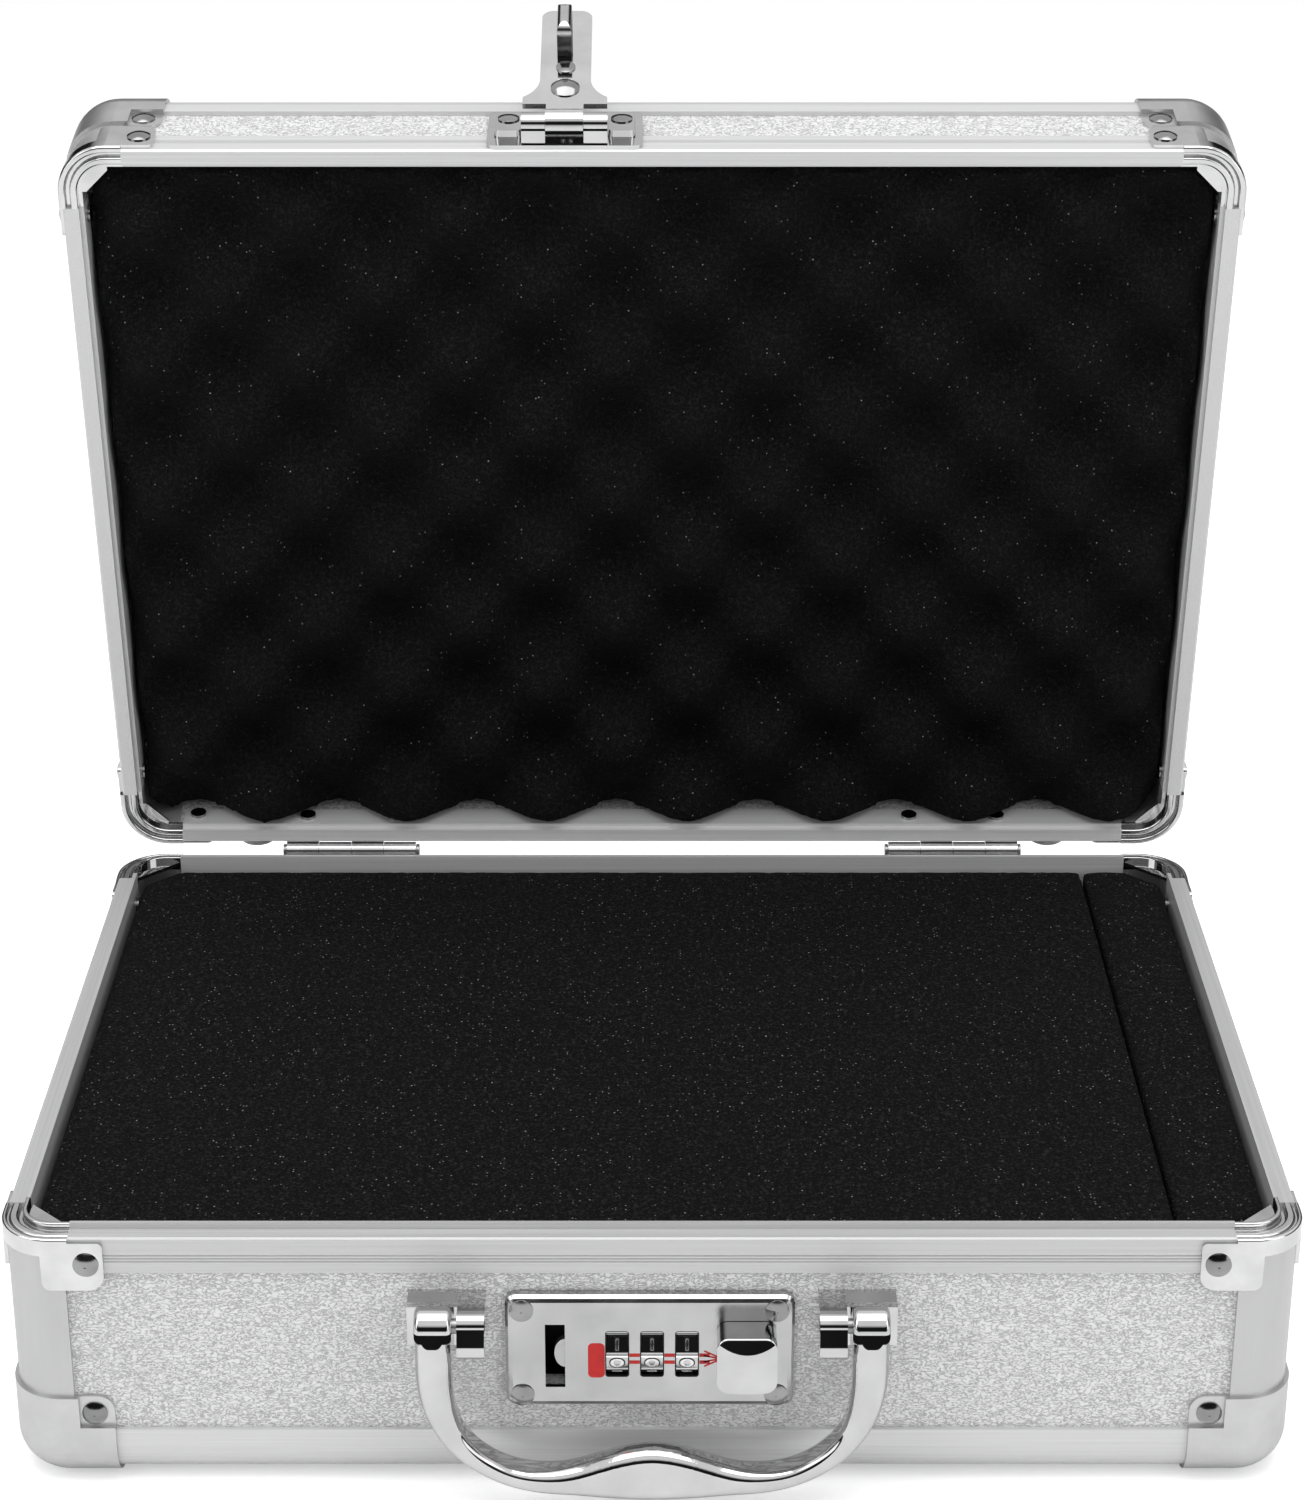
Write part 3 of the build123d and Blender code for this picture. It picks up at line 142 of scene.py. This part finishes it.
def open_cell_foam(name, tones, share):
    """Foamed and cut polyurethane: matt black, open cells, and painted glints on a share of strands."""
    material, tree, shader = new_material(name, Roughness=0.95, Specular_IOR_Level=0.12)
    place = add(tree, "ShaderNodeTexCoord").outputs["Object"]
    # Scale 1500 per metre: cells of about 0.7 mm. Scale 700: clumps of about 1.4 mm.
    cells = add(tree, "ShaderNodeTexVoronoi", {"feature": "F1"}, {"Vector": place}, Scale=1500)
    clumps = add(tree, "ShaderNodeTexNoise", links={"Vector": place}, Scale=700, Detail=5, Roughness=0.75)
    mix = add(tree, "ShaderNodeMix", {"data_type": "FLOAT"},
              {"A": cells.outputs["Distance"], "B": clumps.outputs["Fac"]}, Factor=0.6)
    tone = add(tree, "ShaderNodeValToRGB", links={"Fac": mix.outputs["Result"]},
               stops=((0.32, tones[0]), (0.5, tones[1]), (0.72, tones[2])))
    # Scale 1300 per metre: the painted glints of lit strands sit in cells of 0.8 mm, coarser than real
    # strands, so that they show.
    strands = add(tree, "ShaderNodeTexVoronoi", {"feature": "F1"}, {"Vector": place}, Scale=1300)
    near = add(tree, "ShaderNodeMapRange", {"interpolation_type": "SMOOTHSTEP"},
               {"Value": strands.outputs["Distance"]}, From_Min=0.36, From_Max=0.12)
    chance = add(tree, "ShaderNodeSeparateColor", links={"Color": strands.outputs["Color"]})
    rare = add(tree, "ShaderNodeMapRange", links={"Value": chance.outputs["Red"]}, From_Min=1 - share,
               From_Max=1.0)
    both = add(tree, "ShaderNodeMath", {"operation": "MULTIPLY"},
               {0: near.outputs["Result"], 1: rare.outputs["Result"]})
    # Pale grey in a share of cells: painted glints of lit strands.
    painted_glint = add(tree, "ShaderNodeMix", {"data_type": "RGBA"},
                {"Factor": both.outputs["Value"], "A": tone.outputs["Color"]})
    painted_glint.inputs["B"].default_value = linear("8c8c8e")
    tree.links.new(painted_glint.outputs["Result"], shader.inputs["Base Color"])
    # Open cells 0.7 mm deep.
    bump = add(tree, "ShaderNodeBump", links={"Height": mix.outputs["Result"]}, Strength=0.8,
               Distance=0.0007)
    tree.links.new(bump.outputs["Normal"], shader.inputs["Normal"])
    return material


def plain_finish(name, code, roughness, metallic=0.0):
    """Even paint or rubber with a faint mottle in tone and gloss, about 1.4 mm across."""
    mottled = 0.06
    material, tree, shader = new_material(name, Metallic=metallic)
    place = add(tree, "ShaderNodeTexCoord")
    mottle = add(tree, "ShaderNodeTexNoise", links={"Vector": place.outputs["Object"]}, Scale=700, Detail=4)
    rgb = [int(code[i:i + 2], 16) for i in (0, 2, 4)]
    darker = "".join(f"{int(c * (1 - mottled)):02x}" for c in rgb)
    lighter = "".join(f"{min(255, int(c * (1 + mottled))):02x}" for c in rgb)
    tone = add(tree, "ShaderNodeValToRGB", links={"Fac": mottle.outputs["Fac"]},
               stops=((0.3, darker), (0.7, lighter)))
    tree.links.new(tone.outputs["Color"], shader.inputs["Base Color"])
    rough = add(tree, "ShaderNodeMapRange", links={"Value": mottle.outputs["Fac"]},
                To_Min=roughness - 0.05, To_Max=roughness + 0.08)
    tree.links.new(rough.outputs["Result"], shader.inputs["Roughness"])
    return material


# Lines drawn along a rail: 12 per metre lengthways, 2600 per metre across, so 0.4 mm apart.
along_x = (12, 2600, 2600)
along_y = (2600, 12, 2600)
# Soft streaks up a post, 11 mm apart and 70 mm long, and patches 8 mm across on a pressed corner.
up_post = (90, 90, 14)
all_ways = (120, 120, 120)
rail_tones = ("c4c4c4", "d6d6d6")
rim_tones = ("b7b7b7", "c9c9c9")
post_tones = ("b8b8b8", "c4c4c4")
ball_tones = ("bcbcbc", "c9c9c9")
finishes = {
    "panel": grained_sheet(),
    # Extruded aluminium, anodised: pale satin with fine lines lengthways.
    "rail_x": drawn_metal("satin_anodised_extrusion_x", rail_tones, 0.40, along_x, 0.4),
    "rail_y": drawn_metal("satin_anodised_extrusion_y", rail_tones, 0.40, along_y, 0.4),
    # The same on the base's rim: a little duller and darker.
    "rim_x": drawn_metal("dulled_anodised_rim_x", rim_tones, 0.40, along_x, 0.4),
    "rim_y": drawn_metal("dulled_anodised_rim_y", rim_tones, 0.40, along_y, 0.4),
    # Rolled and bent aluminium, anodised: smoother than the rails, with soft upright streaks.
    "post": drawn_metal("satin_anodised_post", post_tones, 0.36, up_post, 0.7, 0.05),
    # Aluminium sheet pressed to a ball: bright satin with no direction.
    "ball": drawn_metal("pressed_aluminium_corner", ball_tones, 0.30, all_ways, 0.85, 0.05),
    # Pressed steel, nickel plated: clear reflections under a faint haze.
    "nickel": plated("bright_nickel_rim_corner", "dadada", "c2c2c2", 0.09),
    # Upset steel, nickel plated: darker heads that hold one small highlight.
    "rivet": plated("nickel_steel_rivet", "9c9c9c", "7c7c7c", 0.13),
    # Pressed steel, satin chrome: reflections blurred to broad soft bands.
    "lock": plated("satin_chrome_lock_face", "bcbcbc", "acacac", 0.16),
    # Die-cast zinc, bright chrome: light and dark reflections with sharp edges.
    "chrome": plated("bright_chrome_casting", "cecece", "c0c0c0", 0.05),
    # Turned or stamped steel, zinc plated: grey and hazy.
    "steel": plated("zinc_plated_steel", "9e9e9e", "848484", 0.3),
    "catch": plated("zinc_plated_catch", "c6c6c6", "ababab", 0.34),
    # Moulded dial and its raised figures, bright chrome: each facet mirrors another part of the room.
    "dial": plated("bright_chrome_dial", "cacaca", "b0b0b0", 0.07),
    # The figures' chrome is a lighter tone than the dial's: a painted highlight on them.
    "number": plated("highlit_raised_chrome_number", "e6e6e6", "d2d2d2", 0.10),
    # Pressed steel, blackened: a dark hollow behind the lock's openings.
    "pan": plain_finish("blackened_steel_pan", "111112", 0.5, 0.4),
    # Black: thin dark edges round the windows and the figures, painted shade in the gap between plate and dial
    # and a painted dark reflection round each figure.
    "liner": plain_finish("black_painted_dark_edge", "0c0c0d", 0.45),
    # Moulded rubber: pale matt grey.
    "foot": plain_finish("grey_moulded_rubber", "a9a9aa", 0.6),
    # Enamel printed on the plate: flat strong red.
    "paint": plain_finish("red_enamel_marking", "b60a05", 0.5),
}
lid_foam_finish = open_cell_foam("convoluted_black_foam", ("040404", "0a0a0a", "1a1a1b"), 0.035)
base_foam_finish = open_cell_foam("flat_black_foam", ("020202", "070707", "202022"), 0.09)

node_finish = {}
for half in ("base", "lid"):
    for side in ("front", "rear", "left", "right"):
        node_finish[f"{half}_{side}_panel"] = "panel"
    node_finish["base_bottom_panel" if half == "base" else "lid_top_panel"] = "panel"
    node_finish[f"{half}_long_rims"] = "rim_x" if half == "base" else "rail_x"
    node_finish[f"{half}_long_edges"] = "rail_x"
    node_finish[f"{half}_end_rims"] = "rim_y" if half == "base" else "rail_y"
    node_finish[f"{half}_end_edges"] = "rail_y"
    node_finish[f"{half}_corner_posts"] = "post"
    node_finish[f"{half}_rim_corners"] = "nickel"
    node_finish[f"{half}_ball_corners"] = "ball"
    node_finish[f"{half}_corner_rivets"] = "rivet"
    node_finish[f"{half}_feet"] = "foot"
    node_finish[f"hinge_{half}_leaves"] = "nickel"
    node_finish[f"hinge_{half}_rivets"] = "rivet"
for finish_name, names in {
    "lock": ("lock_plate", "hasp_staple"),
    "rivet": ("lock_plate_rivets", "hasp_mount_rivets", "hasp_rivets", "handle_bracket_rivets"),
    "chrome": ("handle", "handle_left_bracket", "handle_right_bracket", "release_button",
               "hasp_plate", "hasp_mount"),
    "dial": ("dial_1", "dial_2", "dial_3"),
    "pan": ("lock_housing",),
    "catch": ("latch_slide",),
}.items():
    node_finish.update(dict.fromkeys(names, finish_name))
for name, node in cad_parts.items():
    finish = finishes[node_finish.get(name, "steel")]
    if "foam" in name:
        finish = lid_foam_finish if name == "lid_foam" else base_foam_finish
    for slot in node.material_slots:
        slot.material = finish


def base_place(x, y, z):
    """Point of the base, from x and y and a height above the rim plane, all in mm."""
    return Vector((x / 1000, y / 1000, RIM + z / 1000))


def only(piece):
    """Makes the piece the one selected and active object."""
    bpy.ops.object.select_all(action="DESELECT")
    piece.select_set(True)
    bpy.context.view_layer.objects.active = piece


def settle(piece, body, finish):
    """Puts the piece's place in its mesh, gives it its finish and makes it ride on its body."""
    only(piece)
    bpy.ops.object.transform_apply(location=True, rotation=True, scale=True)
    piece.data.materials.clear()
    piece.data.materials.append(finish)
    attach(piece, body)


def soft_block(node, name, finish, voxel, fuzz, body):
    """Foam cut from the outline of its solid, with rounded arrises and a rough open-cell skin."""
    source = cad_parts[node]
    piece = bpy.data.objects.new(name, source.data.copy())
    bpy.context.collection.objects.link(piece)
    only(piece)
    bpy.ops.object.mode_set(mode="EDIT")
    bpy.ops.mesh.select_all(action="SELECT")
    bpy.ops.mesh.remove_doubles(threshold=0.00001)
    bpy.ops.object.mode_set(mode="OBJECT")
    remesh = piece.modifiers.new("cells", "REMESH")
    remesh.mode = "VOXEL"
    remesh.voxel_size = voxel
    bpy.ops.object.modifier_apply(modifier="cells")
    relax = piece.modifiers.new("relax", "SMOOTH")
    relax.factor = 0.5
    relax.iterations = 2
    bpy.ops.object.modifier_apply(modifier="relax")
    # Dents about as deep as the fuzz, 2.4 mm and 0.9 mm across.
    normals = [vertex.normal.copy() for vertex in piece.data.vertices]
    for vertex, normal in zip(piece.data.vertices, normals):
        rough = noise.noise(vertex.co * 420) + 0.6 * noise.noise(vertex.co * 1100)
        vertex.co -= normal * fuzz * abs(rough)
    bpy.ops.object.shade_smooth()
    settle(piece, body, finish)
    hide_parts(node)


def merged(name, parts):
    """Joins the parts into one piece of that name."""
    bpy.ops.object.select_all(action="DESELECT")
    for part in parts:
        part.select_set(True)
    bpy.context.view_layer.objects.active = parts[0]
    bpy.ops.object.join()
    parts[0].name = name
    return parts[0]


def figure_mesh(figure, spread, half, bevel):
    """Figure in metres, wider and taller by the spread, with half its thickness. The 1 is a plain stroke."""
    tall = 0.0027
    wide = 0.0006 if figure == 1 else 0.0032
    bpy.ops.object.select_all(action="DESELECT")
    bpy.ops.object.text_add()
    text = bpy.context.object
    text.data.body = "I" if figure == 1 else str(figure)
    text.data.align_x = "CENTER"
    text.data.align_y = "CENTER"
    text.data.size = 0.004
    text.data.extrude = half
    text.data.bevel_depth = bevel
    bpy.ops.object.convert(target="MESH")
    size = text.dimensions
    middle = sum((Vector(corner) for corner in text.bound_box), Vector()) / 8
    text.data.transform(Matrix.Translation(-middle))
    text.data.transform(Matrix.Diagonal(((wide + spread) / size.x, (tall + spread) / size.y, 1, 1)))
    mesh = text.data.copy()
    bpy.data.objects.remove(text)
    return mesh


def dial_numbers(kind, finish, rise, figures):
    """Figures on each dial's facets: 0 on the front one, which looks a little down, 1 above it."""
    facet = DIAL_RADIUS / 1000 * math.cos(math.pi / DIAL_FACETS)
    facing = Matrix.Rotation(math.radians(90), 4, "X")
    for index, body in ((-1, "dial_left"), (0, "dial_middle"), (1, "dial_right")):
        parts = []
        for figure, mesh in enumerate(figures):
            part = bpy.data.objects.new("figure", mesh.copy())
            bpy.context.collection.objects.link(part)
            centre = Matrix.Translation(base_place(index * DIAL_PITCH, DIAL_AXIS[0], DIAL_AXIS[1]))
            angle = 360 / DIAL_FACETS * figure - DIAL_TURN
            climb = Matrix.Rotation(-math.radians(angle), 4, "X")
            part.data.transform(centre @ climb @ Matrix.Translation((0, -facet - rise, 0)) @ facing)
            parts.append(part)
        settle(merged(f"dial_{index + 2}_{kind}", parts), body, finish)


def flat_patch(low_x, high_x, low_z, high_z, turn=0.0):
    """Upright rectangle on the lock's face, given in mm, turned about its own middle."""
    bpy.ops.object.select_all(action="DESELECT")
    middle = base_place((low_x + high_x) / 2, LOCK_FACE, (low_z + high_z) / 2)
    bpy.ops.mesh.primitive_plane_add(size=1, location=middle,
                                     rotation=(math.radians(90), math.radians(turn), 0))
    patch = bpy.context.object
    patch.scale = ((high_x - low_x) / 1000, (high_z - low_z) / 1000, 1)
    bpy.ops.object.transform_apply(location=True, rotation=True, scale=True)
    return patch


def rounded_corners(patch, radius, left_only=False):
    """Rounds the corners of a flat patch, or only those on its left."""
    bpy.ops.object.mode_set(mode="EDIT")
    bpy.ops.mesh.select_mode(type="VERT")
    bpy.ops.mesh.select_all(action="SELECT")
    if left_only:
        bpy.ops.object.mode_set(mode="OBJECT")
        middle = sum(vertex.co.x for vertex in patch.data.vertices) / len(patch.data.vertices)
        for vertex in patch.data.vertices:
            vertex.select = vertex.co.x < middle
        bpy.ops.object.mode_set(mode="EDIT")
    bpy.ops.mesh.bevel(offset=radius, segments=6, affect="VERTICES")
    bpy.ops.object.mode_set(mode="OBJECT")


def window_liners():
    """Thin black wall round each dial's window: painted shade in the gap between plate and dial."""
    # Window in mm, dark rim in metres.
    half_wide, half_tall = 2.77, 6.22
    corner, rim, depth = 0.00078, 0.00016, 0.0011
    parts = []
    for index in (-1, 0, 1):
        middle = index * DIAL_PITCH
        patch = flat_patch(middle - half_wide, middle + half_wide,
                           DIAL_AXIS[1] - half_tall, DIAL_AXIS[1] + half_tall)
        rounded_corners(patch, corner)
        bpy.ops.object.mode_set(mode="EDIT")
        bpy.ops.mesh.select_all(action="SELECT")
        bpy.ops.mesh.inset(thickness=rim)
        bpy.ops.mesh.delete(type="FACE")
        bpy.ops.object.mode_set(mode="OBJECT")
        wall = patch.modifiers.new("wall", "SOLIDIFY")
        wall.thickness = depth
        wall.offset = -1.0
        bpy.ops.object.modifier_apply(modifier="wall")
        parts.append(patch)
    settle(merged("dial_window_painted_shade", parts), "base", finishes["liner"])


def red_arrow():
    """Painted arrow: a block left of the dials, two lines between them, a head of thin forked strokes."""
    # Lines run between the windows' edges, in mm. Each fork is a middle height and a slope in degrees.
    between_windows = ((-5.27, -2.83), (2.83, 5.27), (10.97, 13.4))
    line_heights = ((-30.75, -29.8), (-32.65, -31.7))
    forks = ((-29.95, 27), (-30.75, 12), (-31.7, -12), (-32.5, -27))
    half_stroke = 0.22
    block = flat_patch(-14.9, -10.97, -36.4, -27.0)
    rounded_corners(block, 0.0012, left_only=True)
    parts = [block]
    for low_x, high_x in between_windows:
        for low_z, high_z in line_heights:
            parts.append(flat_patch(low_x, high_x, low_z, high_z))
    for middle, turn in forks:
        parts.append(flat_patch(11.9, 15.5, middle - half_stroke, middle + half_stroke, turn))
    piece = merged("lock_red_arrow", parts)
    # A coat 0.04 mm thick, half of it in the plate.
    coat = piece.modifiers.new("coat", "SOLIDIFY")
    coat.thickness = 0.00004
    coat.offset = 0.0
    bpy.ops.object.modifier_apply(modifier="coat")
    settle(piece, "base", finishes["paint"])


soft_block("lid_foam", "lid_convoluted_foam", lid_foam_finish, voxel=0.0016, fuzz=0.00035, body="lid")
soft_block("base_foam", "base_flat_foam", base_foam_finish, voxel=0.0018, fuzz=0.00030, body="base")
soft_block("base_foam_strip", "base_side_foam", base_foam_finish, voxel=0.0018, fuzz=0.00030, body="base")
# A black plate 0.55 mm larger lies under each raised figure and shows as its edge: a painted dark reflection
# of the figure's bevels.
edges = [figure_mesh(figure, spread=0.00055, half=0.00003, bevel=0) for figure in range(DIAL_FACETS)]
dial_numbers("painted_dark_number_edges", finishes["liner"], 0.00001, edges)
raised = [figure_mesh(figure, spread=0, half=0.00008, bevel=0.00006) for figure in range(DIAL_FACETS)]
dial_numbers("numbers", finishes["number"], 0.00005, raised)
window_liners()
red_arrow()


def photo_camera():
    """The photo's camera, fitted to the case: 24 degrees below level, in front of the middle."""
    place, tilt = (0, -0.772, 0.4716), 66
    # Size of the photo, focal length and optical centre, in its pixels. The sensor is in mm.
    photo_wide, photo_tall = 1306, 1500
    focal, centre_x, centre_y = 3380, 652.1, 811
    sensor_tall = 36
    data = bpy.data.cameras.new("camera")
    camera = bpy.data.objects.new("camera", data)
    bpy.context.collection.objects.link(camera)
    camera.location = place
    camera.rotation_euler = (math.radians(tilt), 0, 0)
    data.sensor_fit = "VERTICAL"
    data.sensor_height = sensor_tall
    data.lens = focal / photo_tall * sensor_tall
    data.shift_y = (centre_y - photo_tall / 2) / photo_tall
    data.shift_x = (photo_wide / 2 - centre_x) / photo_tall
    bpy.context.scene.camera = camera


def softbox(name, place, target, size, power):
    """Rectangular lamp at a place, turned to its target: lengths in metres, power in watts."""
    light = bpy.data.lights.new(name, "AREA")
    light.shape = "RECTANGLE"
    light.size, light.size_y = size
    light.energy = power
    holder = bpy.data.objects.new(name, light)
    bpy.context.collection.objects.link(holder)
    holder.location = place
    holder.rotation_euler = (Vector(target) - Vector(place)).to_track_quat("-Z", "Y").to_euler()


def white_studio():
    """White to the camera, light grey as a lamp, and banded with one dark wall where metal mirrors it."""
    world = bpy.data.worlds.new("white_studio")
    bpy.context.scene.world = world
    world.use_nodes = True
    tree = world.node_tree
    path = add(tree, "ShaderNodeLightPath")
    direction = add(tree, "ShaderNodeTexCoord")
    height = add(tree, "ShaderNodeSeparateXYZ", links={"Vector": direction.outputs["Generated"]})
    bands = add(tree, "ShaderNodeMapRange", links={"Value": height.outputs["Z"]}, From_Min=-1, From_Max=1)
    # From straight down at 0 to straight up at 1, with the horizon at 0.5.
    tone = add(tree, "ShaderNodeValToRGB", links={"Fac": bands.outputs["Result"]},
               stops=((0.0, "b0b0b0"), (1.0, "ffffff"), (0.44, "ececec"), (0.49, "6a6a6a"),
                      (0.53, "1a1a1a"), (0.69, "1e1e1e"), (0.75, "cfcfcf"), (0.80, "ffffff")))
    glossy = add(tree, "ShaderNodeMix", {"data_type": "RGBA"}, {"Factor": path.outputs["Is Glossy Ray"]})
    glossy.inputs["A"].default_value = (0.62, 0.62, 0.63, 1)
    tree.links.new(tone.outputs["Color"], glossy.inputs["B"])
    seen = add(tree, "ShaderNodeMix", {"data_type": "RGBA"}, {"Factor": path.outputs["Is Camera Ray"]})
    tree.links.new(glossy.outputs["Result"], seen.inputs["A"])
    seen.inputs["B"].default_value = (1, 1, 1, 1)
    tree.links.new(seen.outputs["Result"], tree.nodes["Background"].inputs["Color"])


def paper_floor():
    """White paper that glows a little to the camera, so that it runs into the background."""
    bpy.ops.object.select_all(action="DESELECT")
    bpy.ops.mesh.primitive_plane_add(size=6, location=(0, 0, -0.0001))
    floor = bpy.context.object
    floor.name = "floor"
    material, tree, shader = new_material("white_paper_sweep", Roughness=0.9)
    shader.inputs["Base Color"].default_value = linear("f4f4f4")
    path = add(tree, "ShaderNodeLightPath")
    glow = add(tree, "ShaderNodeEmission", Color=(1, 1, 1, 1), Strength=0.35)
    both = add(tree, "ShaderNodeAddShader",
               links={0: shader.outputs["BSDF"], 1: glow.outputs["Emission"]})
    pick = add(tree, "ShaderNodeMixShader",
               links={"Fac": path.outputs["Is Camera Ray"], 1: shader.outputs["BSDF"],
                      2: both.outputs["Shader"]})
    tree.links.new(pick.outputs["Shader"], tree.nodes["Material Output"].inputs["Surface"])
    floor.data.materials.append(material)


photo_camera()
softbox("overhead_softbox", (0.0, -0.2, 1.3), (0, 0, 0.1), (1.4, 1.0), 12)
softbox("left_softbox", (-1.2, -0.7, 0.7), (0, 0, 0.12), (0.8, 1.1), 4.5)
softbox("right_softbox", (1.2, -0.8, 0.6), (0, 0, 0.12), (0.8, 1.1), 4.5)
white_studio()
paper_floor()
bpy.context.scene.view_settings.view_transform = "Standard"
